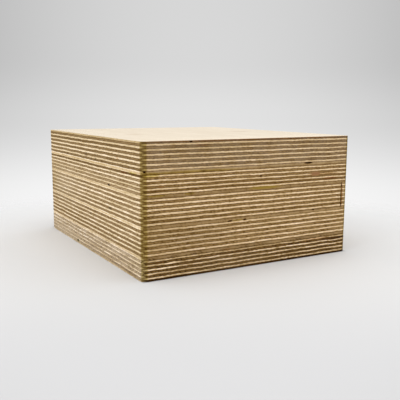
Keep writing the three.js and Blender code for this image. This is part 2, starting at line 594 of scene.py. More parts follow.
# %% [markdown]
# ## Reading the ply map in a material
# The first node group turns a point into what a joiner would say about it: which ply it is in,
# which way that ply's grain runs, whether the edge cuts across the grain there, and how deep in
# a gap the point lies. On the straight edges, the cut is all end grain or all side grain. Round
# a corner it turns from one to the other. The direction that an edge faces is worked out from
# where the point is, with no need of a normal: along a straight edge, one of the two distances
# past the corner's middle is the whole radius and the other is zero. The group also marks the
# strip of each corner that hands have darkened.

# %% Node group: cross-laid plies
# How far a corner has turned away from pure side grain, as a sine, where end grain starts to
# show and where it is full.
END_GRAIN_TURN = (0.21, 0.82)
# Where the strip darkened by hands starts and where it is full, as sines of the turn away from
# the front edge and away from the left one.
DARK_FROM_FRONT = (0.0, 0.30)
DARK_FROM_LEFT = (0.22, 0.52)


def build_plies(tree, incoming):
    plies = add_node(tree, "UVMap", uv_map=PLY_MAP)[0]
    count = separate(tree, plies)[1]
    ply = calculate(tree, "FLOOR", count)
    along_x = calculate(tree, "MODULO", ply, 2.0)

    # There is a glue line at each boundary between two plies, and none on the outer faces.
    last_glue = calculate(tree, "SUBTRACT", incoming["Ply Count"], 1.0)
    glue = calculate(tree, "MAXIMUM", calculate(tree, "ROUND", count), 1.0)
    glue = calculate(tree, "MINIMUM", glue, last_glue)
    from_glue = calculate(tree, "ABSOLUTE", calculate(tree, "SUBTRACT", count, glue))

    from_middle = calculate_vector(tree, "ABSOLUTE", object_place(tree))
    past_corner = calculate_vector(tree, "SUBTRACT", from_middle, incoming["Corner Start"])
    past_corner = calculate_vector(tree, "MAXIMUM", past_corner, (0, 0, 0))
    past_corner = calculate_vector(tree, "MULTIPLY", past_corner, (1, 1, 0))
    reach = measure(tree, "LENGTH", past_corner)
    outward = separate(tree, calculate_vector(tree, "NORMALIZE", past_corner))
    turned = blend_numbers(tree, along_x, outward[1], outward[0])
    corner = multiply(tree, ramp(tree, outward[0], *DARK_FROM_FRONT),
                      ramp(tree, outward[1], *DARK_FROM_LEFT))

    # A gap's depth is counted from the surface of its own ply, which the sanding has worn back.
    worn = blend_numbers(tree, along_x, outward[0], outward[1])
    worn = multiply(tree, worn, SIDE_GRAIN_WEAR / MM)
    surface = calculate(tree, "SUBTRACT", incoming["Corner Radius"], worn)
    return {
        "Count": count,
        "Ply": ply,
        "Grain Along X": along_x,
        "End Grain": ramp(tree, turned, *END_GRAIN_TURN, smooth=False),
        "Front": multiply(tree, outward[1], outward[1]),
        "Corner": corner,
        "From Glue": from_glue,
        "Depth": calculate(tree, "SUBTRACT", surface, reach),
    }


ply_group = make_group(
    "cross-laid plies",
    {"Vector": ["Corner Start"], "Float": ["Corner Radius", "Ply Count"]},
    {"Float": ["Count", "Ply", "Grain Along X", "End Grain", "Front", "Corner", "From Glue",
               "Depth"]},
    build_plies)

# %% [markdown]
# ## Birch figure
# Wood is a bundle of long fibres, so its pattern is one solid pattern drawn out along the
# grain. Read on a face that runs with the grain it gives fine streaks, and read on a face cut
# across the grain it gives dots. One stretched noise does both. It is turned with each ply, and
# shifted for each ply too, because neighbouring veneers come from other places in the log.
# Two marks of the trade come on top. A peeling knife bends the veneer and cracks its lower side,
# so a veneer cut across shows slanting dark hairlines, its lathe checks. And along the grain,
# birch has short brown pith flecks.

# %% Node group: birch figure
SHEET_SHIFT = 31.7  # how far apart in the log two sheets come from, in millimetres
PLY_SHIFT = 5.3  # and two plies of a sheet
CHECK_SLANT = 0.9  # how far a lathe check leans over, for each millimetre that it rises
CHECK_RISE = 0.4  # how fast the checks change up the ply
CHECK_LUMPS = 0.8
CLOUD_LUMPS = (0.05, 0.05, 0.3)
# pattern: (lumps to a millimetre across the grain, along the grain, detail, roughness)
GRAIN_PATTERNS = {
    "Streaks": (1.9, 0.10, 5.0, 0.72),
    "Flecks": (2.0, 0.38, 2.0, 0.6),
    "Pores": (3.4, 0.30, 3.0, 0.72),
}


def build_figure(tree, incoming):
    sheet_shift = multiply(tree, incoming["Seed"], SHEET_SHIFT)
    shift = calculate(tree, "ADD", sheet_shift, multiply(tree, incoming["Ply"], PLY_SHIFT))
    moved = calculate_vector(tree, "ADD", object_place(tree), combine(tree, shift, shift))
    grain_along_x = incoming["Grain Along X"]
    results = {}
    for label, (across, along, detail, roughness) in GRAIN_PATTERNS.items():
        with_x, with_y = (along, across, across), (across, along, across)
        lumps = blend_vectors(tree, grain_along_x, with_y, with_x)
        drawn_out = calculate_vector(tree, "MULTIPLY", moved, lumps)
        results[label] = noise(tree, drawn_out, detail, roughness)

    x, y, z = separate(tree, moved)
    across = blend_numbers(tree, grain_along_x, x, y)
    slanting = calculate(tree, "ADD", across, multiply(tree, z, CHECK_SLANT))
    slanting = combine(tree, slanting, multiply(tree, z, CHECK_RISE))
    results["Checks"] = noise(tree, scale_vector(tree, slanting, CHECK_LUMPS), 3.0, 0.65)
    slow = calculate_vector(tree, "MULTIPLY", moved, CLOUD_LUMPS)
    results["Clouds"] = noise(tree, slow, 4.0, 0.6)
    lot = combine(tree, incoming["Ply"], incoming["Seed"])
    results["Ply Tone"] = add_node(tree, "TexWhiteNoise", {"Vector": lot})[0]
    return results


FIGURE = ["Streaks", "Flecks", "Pores", "Checks", "Clouds", "Ply Tone"]
figure_group = make_group(
    "birch figure", {"Float": ["Ply", "Grain Along X", "Seed"]}, {"Float": FIGURE}, build_figure)

# %% [markdown]
# ## The colour of an edge
# Side grain is cream and end grain is brown, because cut-off fibres swallow light. The front
# and back edges, which get less light, have their own two tones, warmer than those of the other
# two: painted shading for the warmer look of wood in less light. The figure darkens and lightens
# them, and a toss of the dice for each ply makes some veneers paler than others. To multiply a
# colour by one number would turn dark wood grey. Wood turns brown as it darkens, because blue
# goes first, so the shade is raised to a higher power in green than in red, and to a higher one
# still in blue.

# %% Node group: edge colour
# What darkens wood takes more from green than from red, and most from blue. These are the
# powers that a shade is raised to in each of them.
WARMTH = (1.0, 1.2, 1.75)
# pattern: (the two values between which it changes the shade, the shade at each of them)
SIDE_SHADES = {
    "Streaks": (0.34, 0.66, 0.80, 1.13),
    "Flecks": (0.50, 0.64, 1.05, 0.70),
    "Clouds": (0.3, 0.7, 0.90, 1.10),
}
END_SHADES = {
    "Pores": (0.34, 0.66, 0.68, 1.32),
    "Checks": (0.50, 0.62, 1.16, 0.56),
    "Clouds": (0.3, 0.7, 0.84, 1.16),
}
PLY_TOSS = (0.93, 1.07)  # the darkest and the palest shade that the dice give a veneer


def build_edge_colour(tree, incoming):
    def between_edges(grain):
        return blend_colours(tree, incoming["Front"], incoming[f"Left {grain} Grain"],
                             incoming[f"Front {grain} Grain"])

    def all_shades(shades):
        ramps = (ramp(tree, incoming[label], *values) for label, values in shades.items())
        return multiply(tree, *ramps)

    end_grain = incoming["End Grain"]
    wood = blend_colours(tree, end_grain, between_edges("Side"), between_edges("End"))
    shade = blend_numbers(tree, end_grain, all_shades(SIDE_SHADES), all_shades(END_SHADES))
    shade = calculate(tree, "POWER", shade, incoming["Contrast"])
    toss = ramp(tree, incoming["Ply Tone"], 0, 1, *PLY_TOSS, smooth=False)
    shade = multiply(tree, shade, toss, incoming["Shade"])
    warm = combine(tree, *(calculate(tree, "POWER", shade, power) for power in WARMTH))
    return {"Color": calculate_vector(tree, "MULTIPLY", wood, warm)}


# The front tones are warmer than the left ones: painted shading of the less lit front and back
# edges.
WOOD_TONES = {
    "Front Side Grain": paint(238, 208, 164),
    "Left Side Grain": paint(236, 215, 180),
    "Front End Grain": paint(150, 119, 73),
    "Left End Grain": paint(146, 120, 81),
}
edge_colour_group = make_group(
    "edge colour",
    {"Color": WOOD_TONES, "Float": ["Front", "End Grain", "Contrast", "Shade", *FIGURE]},
    {"Color": ["Color"]}, build_edge_colour)

# %% [markdown]
# ## Glue lines
# The glue between the plies is a dark phenolic resin. It shows as a thin brown line, thicker
# where the resin soaked into the veneer and almost gone where the press squeezed it dry. It
# lies flush with the wood, so it is painted and not modelled. The line follows the ply map, and
# a noise varies its width. Each sheet has its own width, because one press spreads more glue
# than another. The lines are painted wider in front, where they also paint shade at the edges
# of the worn-back side-grain plies.

# %% Node group: glue line
GLUE_LUMPS = 0.6
GLUE_SOAK = (0.6, 1.4)  # the shares of its own width that a line shrinks and swells to
GLUE_FADE = (0.6, 1.4)  # the shares of half its width between which a line fades out


def build_glue(tree, incoming):
    soaked = spread(tree, soft_lumps(tree, GLUE_LUMPS), *GLUE_SOAK)
    width = multiply(tree, incoming["Half Width"], soaked)
    inner, outer = (multiply(tree, width, share) for share in GLUE_FADE)
    mask = ramp(tree, incoming["From Glue"], inner, outer, 1.0, 0.0)
    glued = blend_colours(tree, mask, incoming["Color"], incoming["Glue Color"])
    return {"Color": glued, "Mask": mask}


glue_group = make_group(
    "glue line", {"Color": ["Color", "Glue Color"], "Float": ["From Glue", "Half Width"]},
    {"Color": ["Color"], "Float": ["Mask"]}, build_glue)

# %% [markdown]
# ## Sanding dust
# The edges were sanded with the sheets clamped together, and pale dust stayed in the fine
# joints between them. It shows as a pale haze over the two face plies that meet there. The
# lowest sheet also has a thin film of dust on its left edge, and the top one a fainter film in
# front. A film covers pale and dark plies alike, so it is mixed over the colour and not
# multiplied into it, and a noise makes it patchy.

# %% Node group: sanding dust
DUST_LUMPS = 0.12
DUST_PATCHES = (0.5, 1.5)  # how much thinner and thicker the patches are
JOINT_DUST = (0.2, 0.9)  # where the dust of a joint thins out and where it ends, in plies


def build_dust(tree, incoming):
    count = incoming["Count"]
    to_top = calculate(tree, "SUBTRACT", incoming["Ply Count"], count)
    below = multiply(tree, ramp(tree, count, *JOINT_DUST, 1, 0), incoming["Below"])
    above = multiply(tree, ramp(tree, to_top, *JOINT_DUST, 1, 0), incoming["Above"])
    patches = spread(tree, soft_lumps(tree, DUST_LUMPS), *DUST_PATCHES)
    settled = multiply(tree, calculate(tree, "MAXIMUM", below, above), patches)
    settled = calculate(tree, "MINIMUM", settled, 1.0)
    film = multiply(tree, incoming["Film"], patches)
    filmed = blend_colours(tree, film, incoming["Color"], incoming["Film Color"])
    return {"Color": blend_colours(tree, settled, filmed, incoming["Dust Color"])}


dust_group = make_group(
    "sanding dust",
    {"Color": ["Color", "Dust Color", "Film Color"],
     "Float": ["Count", "Ply Count", "Below", "Above", "Film"]},
    {"Color": ["Color"]}, build_dust)

# %% [markdown]
# ## Shade in a gap
# A narrow gap swallows the light that falls into it. Real lamps do that too, but not enough in a
# gap this small, so painted shade darkens the colour with depth as well. It ends in a deep brown
# and not in black, a painted warm shade, because light that has bounced between walls of wood
# is warm.

# %% Node group: shade in a gap
def build_gap_shade(tree, incoming):
    shade = ramp(tree, incoming["Depth"], incoming["Start"], incoming["End"])
    shaded_wood = blend_colours(tree, shade, incoming["Color"], incoming["Tint"], "MULTIPLY")
    return {"Color": shaded_wood}


gap_group = make_group(
    "shade in a gap", {"Color": ["Color", "Tint"], "Float": ["Depth", "Start", "End"]},
    {"Color": ["Color"]}, build_gap_shade)

# %% [markdown]
# ## Knots, rust and sap
# Birch for inner plies is the cheaper grade. It has pin knots, streaks of sap and strips of bark
# at the ends of a veneer. Wet steel leaves rust on a cut edge, and a blunt saw burns it. Each
# mark is an oval at its own place on an edge, with a ragged rim. Most of them soak in: the tint
# is multiplied into the colour, so that the grain still shows through. Grime, a brown haze of
# handling, a pale bloom of dust, dried resin and filler lie on top instead and cover, which
# makes pale and dark plies more alike. The same group serves every mark, with other numbers.

# %% Node group: stain
STAIN_LUMPS = 0.8


def build_stain(tree, incoming):
    away = calculate_vector(tree, "SUBTRACT", object_place(tree), incoming["Centre"])
    distance = measure(tree, "LENGTH", calculate_vector(tree, "DIVIDE", away, incoming["Reach"]))
    ragged = calculate(tree, "SUBTRACT", soft_lumps(tree, STAIN_LUMPS), 0.5)
    ragged = multiply(tree, ragged, incoming["Raggedness"])
    distance = calculate(tree, "ADD", distance, ragged)
    solid_to = calculate(tree, "SUBTRACT", 1.0, incoming["Softness"])
    mask = multiply(tree, ramp(tree, distance, solid_to, 1.0, 1.0, 0.0), incoming["Strength"])
    colours = incoming["Color"], incoming["Tint"]
    stained = blend_colours(tree, mask, *colours, "MULTIPLY")
    covered = blend_colours(tree, mask, *colours)
    return {"Color": blend_colours(tree, incoming["Covers"], stained, covered)}


stain_group = make_group(
    "stain",
    {"Color": ["Color", "Tint"], "Vector": ["Centre", "Reach"],
     "Float": ["Covers", "Strength", "Softness", "Raggedness"]},
    {"Color": ["Color"]}, build_stain)

# %% [markdown]
# ## Where the marks are
# A mark is listed by its edge, how far along the edge and how high above the floor its middle
# is, its length and height, what it is and how strong it is. Distances are in millimetres, and
# those along an edge start from the front left corner. The large weak marks are areas that have
# slowly darkened, faded or gathered dust. A gap has a mark too, for the dirt in the torn fibres
# round it, and takes it from the list of the gaps.

# %% Kinds of mark
def soaks_in(red, green, blue):
    """A mark that multiplies the colour of the wood by its tint."""
    return {"Tint": (red, green, blue, 1), "Covers": 0.0}


def covers(red, green, blue):
    """A mark that lies on top, in a paint of its own."""
    return {"Tint": paint(red, green, blue), "Covers": 1.0}


RUST = soaks_in(0.85, 0.60, 0.42)
SAP = soaks_in(0.86, 0.85, 0.38)
BARK = soaks_in(0.30, 0.20, 0.08)
KNOT = soaks_in(0.30, 0.30, 0.20)
MOULD = soaks_in(0.20, 0.24, 0.10)
BURN = soaks_in(0.60, 0.50, 0.35)
# Soaks in and darkens. Along the joints between the sheets on the left edge it is painted shade.
SMOKE_AND_JOINT_SHADE = soaks_in(0.72, 0.68, 0.48)
BARE = soaks_in(1.50, 1.50, 1.60)
GAP_DIRT = soaks_in(0.50, 0.32, 0.10)
GRIME = covers(106, 80, 40)
HAZE = covers(140, 112, 72)
BLOOM = covers(193, 175, 148)
RESIN = covers(154, 126, 52)
FILLER = covers(158, 116, 78)

# %% Marks on the edges
# (edge, along, up, length, height, what it is, strength)
MARKS = [
    ("front", 0, 30, 140, 52, GRIME, 0.12),
    ("front", 0, 30, 100, 60, SMOKE_AND_JOINT_SHADE, 0.35),
    ("front", 0, 41.5, 26, 140, SMOKE_AND_JOINT_SHADE, 0.4),
    ("front", 161, 41, 26, 30, GRIME, 0.3),
    ("front", 35, 23.3, 80, 24, GRIME, 0.28),
    ("front", 40, 76, 110, 26, SMOKE_AND_JOINT_SHADE, 0.25),
    ("front", 62, 6, 120, 20, HAZE, 0.25),
    ("left", 180, 40, 90, 60, HAZE, 0.15),
    ("left", 150, 41, 130, 44, BLOOM, 0.2),
    ("left", 150, 3, 130, 26, BLOOM, 0.45),
    ("left", 0, 12, 60, 50, SMOKE_AND_JOINT_SHADE, 0.45),
    ("left", 185, 42, 70, 50, SMOKE_AND_JOINT_SHADE, 0.6),
    # Painted shade: thin darker lines along the joints between the sheets on the left edge.
    ("left", 92.5, 32.4, 220, 1.2, SMOKE_AND_JOINT_SHADE, 0.5),
    ("left", 92.5, 50.7, 220, 1.2, SMOKE_AND_JOINT_SHADE, 0.2),
    ("front", 80, 82.8, 200, 1.8, RUST, 0.8),
    ("front", 104, 10.8, 180, 1, RUST, 0.4),
    ("front", 39.9, 80.1, 13.2, 1.4, RUST, 0.5),
    ("front", 137, 57.8, 34, 1.8, BURN, 0.9),
    ("front", 130.2, 57.9, 11, 3.6, FILLER, 1),
    ("front", 155, 41.55, 2.4, 24, GAP_DIRT, 0.85),
    ("front", 121.4, 65.7, 4.4, 1.6, GAP_DIRT, 0.9),
    ("front", 143.5, 54.3, 16, 1.8, RUST, 0.9),
    ("front", 147.5, 10.75, 32, 2.6, BARK, 0.8),
    ("front", 133, 12.2, 26, 1.4, RUST, 0.45),
    ("front", 34, 64.3, 82, 2.4, SAP, 0.75),
    ("front", 5.5, 63.6, 17, 4.2, SAP, 0.75),
    ("front", 40.6, 64.4, 4.9, 1, BARK, 0.4),
    ("front", 88, 51.2, 32, 2.4, RESIN, 0.9),
    ("front", 10, 51.2, 16, 1.8, SAP, 0.9),
    ("front", 31.7, 51.1, 9, 1.6, SAP, 0.9),
    ("front", 66.7, 31.5, 10, 1.4, SAP, 1),
    ("front", 59.9, 12.9, 5, 1.2, RUST, 0.6),
    ("front", 11.4, 10.9, 9, 1.2, RUST, 0.6),
    ("front", 35.6, 53.4, 6, 1.2, RUST, 0.5),
    ("front", 12.5, 56.4, 6, 1.2, RUST, 0.5),
    ("front", 58.2, 13.6, 9.1, 1, RUST, 0.6),
    ("front", 21, 14, 6.8, 1, BARK, 0.4),
    ("left", 51.1, 52.4, 5, 1.6, KNOT, 0.9),
    ("left", 49.8, 37.1, 7, 1.9, KNOT, 0.8),
    ("left", 88, 27.7, 8, 1.3, KNOT, 0.6),
    ("left", 94.5, 68.7, 9, 2.2, BARK, 0.6),
    ("left", 117.3, 2, 5, 2.5, MOULD, 1),
    ("left", 94.2, 70, 3.5, 1.4, KNOT, 0.7),
    ("left", 71.9, 70.2, 3, 1.3, KNOT, 0.7),
    ("left", 75.2, 67.3, 4, 1.8, KNOT, 0.8),
    ("left", 105.9, 60.4, 1.6, 1.3, KNOT, 0.9),
    ("left", 71.9, 30.5, 1.6, 1.2, BARE, 0.8),
    ("left", 70.5, 67.4, 1.6, 1.2, BARE, 0.8),
    ("left", 26, 63, 13, 1.6, RUST, 1),
    ("left", 9, 62.9, 30, 1.8, BURN, 0.6),
    ("left", 12.4, 63.8, 15, 1.5, SAP, 0.8),
    # Painted shade along the joint under the top sheet on the left edge.
    ("left", 92.5, 64.9, 220, 1.8, SMOKE_AND_JOINT_SHADE, 0.55),
    ("left", 96.9, 62.6, 7, 1, RUST, 0.7),
    ("left", 68.9, 81.4, 5, 1.2, RUST, 0.5),
    ("left", 31.5, 81.8, 5, 1.2, RUST, 0.5),
    ("left", 36.3, 71, 5, 1.2, RUST, 0.5),
]
print("marks:", len(MARKS))

# %% Laying the marks on
GAP_RIM = 1.0  # how much longer and higher the dirt round a gap is than the gap
MARK_DEPTH = 3.0  # how far a mark goes into the wood
MARK_SOFTNESS = 0.5
MARK_RAGGEDNESS = 0.7
WIDE_MARK = 10  # a mark wider than this fades from its middle outwards


def gap_dirt():
    """The marks round the gaps, where dirt gathers in the torn fibres."""
    return [(edge, along, in_ply(sheet, ply, rise) / MM, length + GAP_RIM, height + GAP_RIM,
             GAP_DIRT, 1.0) for sheet, ply, edge, along, rise, length, height in VENEER_GAPS]


def add_marks(tree, colour, sheet):
    """Lays a sheet's marks over its colour, one after the other."""
    low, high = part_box(sheet)
    for edge, along, up, length, height, kind, strength in MARKS + gap_dirt():
        if not low.z < (up + height / 2) * MM or not (up - height / 2) * MM < high.z:
            continue
        reach = (length / 2, MARK_DEPTH, height / 2)
        if edge == "left":
            reach = (MARK_DEPTH, length / 2, height / 2)
        softness = 1.0 if min(length, height) > WIDE_MARK else MARK_SOFTNESS
        colour = place_group(tree, stain_group, {
            **kind, "Color": colour, "Strength": strength, "Reach": reach,
            "Centre": on_edge(edge, along, up * MM) / MM,
            "Softness": softness, "Raggedness": MARK_RAGGEDNESS})["Color"]
    return colour


print("marks round the gaps:", len(gap_dirt()))

# %% [markdown]
# ## The edge material
# Each sheet gets the same recipe with its own tones: sheets from different packs have yellowed
# more or less. Some single veneers are darker or paler than the rest, and the narrow strip beyond
# the seam is paler on the front and back edges. The lowest ply of the lowest sheet carries
# painted shade where the stack meets the floor. The shader itself is plain: bare sanded birch is
# rough and hardly shines, the hard glue is a little smoother, and the figure is raised a little
# with a bump.

# %% Tones of the edges
GLUE = paint(115, 82, 42)
DUST = paint(196, 166, 122)
FILM = paint(186, 168, 145)

# What sets each sheet apart. Its shades are shares of the four wood tones, in their order. Glue
# is half the width of a glue line, as a share of a ply, in front and on the left; the wider lines
# in front also paint shade at the edges of the worn-back side-grain plies. Figure is how lively
# the figure is, and 1 is plain. Joints is the dust in the joint below and in the one above, and
# film is the film of dust in front and on the left.
SHEET_FINISH = {
    "thin_sheet_1": {"shades": (0.99, 1.05, 0.42, 1.22), "glue": (0.15, 0.10), "figure": 1.7,
                     "joints": (0.0, 0.30), "film": (0.0, 0.25)},
    "thick_sheet_2": {"shades": (1.02, 1.04, 0.92, 0.93), "glue": (0.12, 0.10), "figure": 1.0,
                      "joints": (0.36, 0.36), "film": (0.0, 0.0)},
    "thick_sheet_3": {"shades": (1.05, 1.04, 0.90, 0.98), "glue": (0.125, 0.09), "figure": 0.9,
                      "joints": (0.36, 0.30), "film": (0.0, 0.0)},
    "thin_sheet_4": {"shades": (0.99, 0.96, 0.84, 1.03), "glue": (0.14, 0.10), "figure": 0.9,
                     "joints": (0.30, 0.45), "film": (0.0, 0.0)},
    "thick_sheet_5": {"shades": (0.92, 0.91, 0.69, 0.76), "glue": (0.15, 0.10), "figure": 0.8,
                      "joints": (0.48, 0.0), "film": (0.14, 0.0)},
}
# sheet: {ply from the underside: (shade where it shows end grain, shade where side grain)}
VENEER_SHADES = {
    # Painted shade: ply 1 of the lowest sheet is darkened for the shadow where the stack meets the
    # floor.
    "thin_sheet_1": {1: (0.33, 0.64), 2: (0.85, 0.95), 4: (1, 0.92), 7: (0.95, 1.05),
                     9: (1.1, 1), 10: (1, 0.75), 11: (1.45, 1.12)},
    "thick_sheet_2": {1: (0.66, 0.95), 3: (0.96, 0.9), 4: (0.9, 0.95), 6: (0.85, 0.9),
                      8: (1.15, 1.1), 10: (0.97, 0.92), 13: (1.06, 1.06)},
    "thick_sheet_3": {1: (0.77, 1.03), 3: (0.8, 0.94), 4: (0.85, 0.9), 6: (1.15, 1.07),
                      8: (1.06, 1.08), 12: (0.96, 0.93), 13: (0.68, 1)},
    "thin_sheet_4": {1: (1, 0.94), 2: (1.2, 1.06), 3: (0.72, 0.91), 4: (1.18, 1.02),
                     5: (0.85, 0.87), 6: (1.05, 0.98), 7: (1.08, 1.1), 8: (0.93, 1.01),
                     10: (0.6, 0.97), 11: (0.75, 0.91)},
    "thick_sheet_5": {1: (1.32, 1.27), 2: (1.05, 1.05), 3: (0.94, 0.91), 5: (1.05, 1.07),
                      6: (1, 1.06), 7: (1.05, 1.03), 10: (0.9, 1), 11: (0.9, 0.89),
                      13: (0.74, 0.7)},
}
STRIP_SHADES = (1.7, 1.2)  # the narrow strip beyond the seam, end grain and side grain


def shaded(colour, shade):
    """A colour made lighter or darker, as wood is."""
    return (*(channel * shade ** power for channel, power in zip(colour, WARMTH)), 1.0)


print("single veneers that stand out:", sum(map(len, VENEER_SHADES.values())))

# %% Single veneers
HALF_A_PLY = 0.5  # the margin within which a count of plies is the wanted one


def single_veneers(tree, plies, sheet):
    """The shade of the veneers that stand out in a sheet, and of the strip beyond its seam."""
    shades = [1.0, 1.0]  # where end grain shows and where side grain shows
    for ply, ply_shades in VENEER_SHADES[sheet].items():
        inputs = {0: plies["Ply"], 1: ply - 1, 2: HALF_A_PLY}
        here = add_node(tree, "Math", inputs, operation="COMPARE")[0]
        shades = [blend_numbers(tree, here, *pair) for pair in zip(shades, ply_shades)]
    if sheet == SEAM_SHEET:
        across = separate(tree, object_place(tree))[0]
        strip = calculate(tree, "GREATER_THAN", across, (stack_hi.x - SEAM_STRIP) / MM)
        strip = multiply(tree, strip, plies["Front"])
        shades = [multiply(tree, shade, blend_numbers(tree, strip, 1.0, strip_shade))
                  for shade, strip_shade in zip(shades, STRIP_SHADES)]
    end, side = shades
    return blend_numbers(tree, plies["End Grain"], side, end)


# %% Edge materials
BUMP_DISTANCE = 0.1 * MM
BUMP_STRENGTH = 0.35
EDGE_ROUGHNESS = (0.8, 0.65)  # of bare wood and of glue
EDGE_SHEEN = 0.06  # cut fibres hardly shine
CORNER_DIRT = (0.71, 0.69, 0.41, 1)  # the corners are darker where hands hold the sheets
# Painted shade in the gaps and the seam: past the first depth the colour darkens, and past the
# second it is multiplied by the tint.
SLOT_SHADE = (0.06, 0.2)  # the depths where a gap starts to darken and where it is dark
SLOT_SHADE_TINT = (0.08, 0.035, 0.008, 1)  # what is left of the colour there


def start_material(name):
    """Makes a material. Returns it with its tree and its shader."""
    material = bpy.data.materials.new(name)
    material.use_nodes = True
    return material, material.node_tree, material.node_tree.nodes["Principled BSDF"]


def raised(tree, height):
    """The normals of a surface that its figure raises a little."""
    inputs = {"Height": height, "Strength": BUMP_STRENGTH, "Distance": BUMP_DISTANCE}
    return add_node(tree, "Bump", inputs)[0]


def make_edge_material(sheet, seed):
    material, tree, shader = start_material(sheet + " edge")
    finish = SHEET_FINISH[sheet]
    ply_count = SHEET_PLIES[sheet]
    corner_start = ((stack_hi.x - CORNER_RADIUS) / MM, (stack_hi.y - CORNER_RADIUS) / MM, 0)
    plies = place_group(tree, ply_group, {
        "Corner Start": corner_start, "Corner Radius": CORNER_RADIUS / MM, "Ply Count": ply_count})
    figure = place_group(tree, figure_group, {
        "Ply": plies["Ply"], "Grain Along X": plies["Grain Along X"], "Seed": seed})

    def by_edge(in_front, on_left):
        return blend_numbers(tree, plies["Front"], on_left, in_front)

    tones = {label: shaded(tone, shade)
             for (label, tone), shade in zip(WOOD_TONES.items(), finish["shades"])}
    colour = place_group(tree, edge_colour_group, {
        **tones, **{label: figure[label] for label in FIGURE},
        "Front": plies["Front"], "End Grain": plies["End Grain"],
        "Contrast": finish["figure"], "Shade": single_veneers(tree, plies, sheet)})["Color"]
    front_end_shade = finish["shades"][2]
    # In front the wider glue lines also paint shade at the edges of the worn-back side-grain
    # plies.
    glued = place_group(tree, glue_group, {
        "Color": colour, "From Glue": plies["From Glue"], "Half Width": by_edge(*finish["glue"]),
        "Glue Color": shaded(GLUE, front_end_shade)})
    below, above = finish["joints"]
    dusty = place_group(tree, dust_group, {
        "Color": glued["Color"], "Count": plies["Count"], "Ply Count": ply_count,
        "Below": below, "Above": above, "Film": by_edge(*finish["film"]),
        "Dust Color": DUST, "Film Color": FILM})["Color"]
    handled = blend_colours(tree, plies["Corner"], dusty, CORNER_DIRT, "MULTIPLY")
    # Painted shade: the colour darkens with depth in the gaps and the seam.
    shade_start, shade_end = SLOT_SHADE
    colour = place_group(tree, gap_group, {
        "Color": add_marks(tree, handled, sheet), "Depth": plies["Depth"],
        "Start": shade_start, "End": shade_end, "Tint": SLOT_SHADE_TINT})["Color"]

    height = blend_numbers(tree, plies["End Grain"], figure["Streaks"], figure["Pores"])
    fill_inputs(tree, shader, {
        "Base Color": colour, "Roughness": ramp(tree, glued["Mask"], 0, 1, *EDGE_ROUGHNESS),
        "Specular IOR Level": EDGE_SHEEN, "Normal": raised(tree, height)})
    print(material.name, "nodes:", len(tree.nodes))
    return material


edge_materials = {name: make_edge_material(name, seed) for seed, name in enumerate(SHEET_PLIES)}

# %% [markdown]
# ## The face veneer
# The broad faces are rotary-cut birch, sanded smooth: pale cream, almost even, with soft long
# figure along the sheet. Three faint grey-brown patches are all that is left of the tree's pin
# knots. Towards the front the veneer is painted a little paler, a painted highlight, and right
# at the edge it has browned.
# Fine fibres stand up from sanded wood and catch the light where one looks along it. No bump can
# show them, but the sheen of the shader is made for such a nap.

# %% Face material
FACE_TONES = (paint(224, 208, 182), paint(233, 218, 194))
FIBRE_TONE = paint(214, 197, 170)
FIBRE_STRENGTH = 0.35
FACE_LUMPS = (0.09, 0.012, 0.09)  # lumps of the broad figure to a millimetre, by direction
FIBRE_LUMPS = (1.6, 0.05, 1.6)
# (along X, along Y, radius along X, radius along Y, strength), in millimetres
FACE_PATCHES = [(-51, -14, 9, 14, 0.9), (45, -4, 13, 14, 0.9), (2, -60.6, 4, 6, 0.8)]
PATCH_TINT = (0.86, 0.82, 0.76, 1)
PATCH_SOFTNESS = 0.8
PATCH_RAGGEDNESS = 0.6
# Painted highlight: the face is made paler towards the front edge, over this width and by this
# factor.
HIGHLIGHT_WIDTH = 38.0  # the paler band along the front edge
HIGHLIGHT_LIFT = 1.09
RIM_WIDTH = 6.0  # the browned rim along the front edge
RIM_TINT = (0.90, 0.80, 0.66, 1)
FACE_ROUGHNESS = 0.62
FACE_SPECULAR = 0.42
FACE_SHEEN = 0.15  # fine fibres catch the light where one looks along the face


def make_face_material():
    material, tree, shader = start_material("birch face veneer")
    place = object_place(tree)
    wide = calculate_vector(tree, "MULTIPLY", place, FACE_LUMPS)
    figure = {"Vector": wide, "Scale": 1.0, "Detail": 3.0, "Distortion": 0.6}
    figure = spread(tree, add_node(tree, "TexNoise", figure)[0], 0.0, 1.0)
    colour = blend_colours(tree, figure, *FACE_TONES)
    fibres = noise(tree, calculate_vector(tree, "MULTIPLY", place, FIBRE_LUMPS), 4.0, 0.6)
    colour = blend_colours(tree, spread(tree, fibres, 0.0, FIBRE_STRENGTH), colour, FIBRE_TONE)

    front_edge = stack_lo.y / MM
    depth = separate(tree, place)[1]
    # painted highlight towards the front edge
    painted_highlight = ramp(tree, depth, front_edge, front_edge + HIGHLIGHT_WIDTH, HIGHLIGHT_LIFT, 1.0)
    rim = ramp(tree, depth, front_edge, front_edge + RIM_WIDTH, 1.0, 0.0)
    colour = blend_colours(tree, rim, scale_vector(tree, colour, painted_highlight), RIM_TINT, "MULTIPLY")
    for x, y, reach_x, reach_y, strength in FACE_PATCHES:
        colour = place_group(tree, stain_group, {
            "Color": colour, "Tint": PATCH_TINT, "Covers": 0.0, "Strength": strength,
            "Centre": (x, y, stack_hi.z / MM), "Reach": (reach_x, reach_y, MARK_DEPTH),
            "Softness": PATCH_SOFTNESS, "Raggedness": PATCH_RAGGEDNESS})["Color"]
    fill_inputs(tree, shader, {
        "Base Color": colour, "Roughness": FACE_ROUGHNESS, "Specular IOR Level": FACE_SPECULAR,
        "Sheen Weight": FACE_SHEEN, "Normal": raised(tree, fibres)})
    print(material.name, "nodes:", len(tree.nodes))
    return material


face_material = make_face_material()

# %% Dressing the sheets
UPRIGHT = 0.9  # a face whose normal is at least this upright lies on a flat face of the sheet

